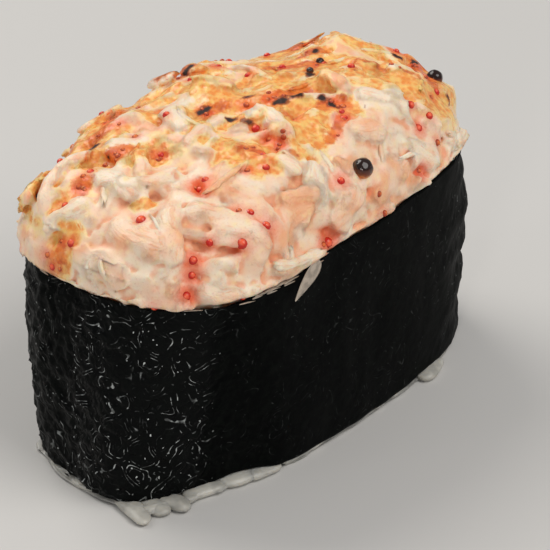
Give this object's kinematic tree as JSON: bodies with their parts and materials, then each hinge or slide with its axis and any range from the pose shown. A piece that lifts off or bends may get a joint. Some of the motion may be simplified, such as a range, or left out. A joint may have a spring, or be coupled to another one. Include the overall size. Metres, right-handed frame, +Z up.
{
  "type": "gunkan sushi",
  "caption": "Oval gunkan sushi: a pressed rice block in an upright seaweed band, heaped with a torched shredded seafood salad dotted with small roe.",
  "frame": {"origin": "on the table, under the middle of the piece's bounding box", "axes": "+X along the piece's long side, +Y across it towards the side with the seaweed's lap, +Z up"},
  "size_m": [0.0562, 0.0313, 0.0338],
  "materials": {
    "rice": "moist cooked rice grains, off-white and slightly translucent, with a soft shine",
    "nori": "near-black green dried seaweed sheet, finely wrinkled and blistered, with small sharp glints",
    "topping": "moist shredded seafood in mayonnaise, creamy pink-white with torched golden and brown patches and red-orange roe"
  },
  "bodies": {
    "root": {"rice": "rice", "nori": "nori", "topping": "topping"}
  },
  "joints": []
}
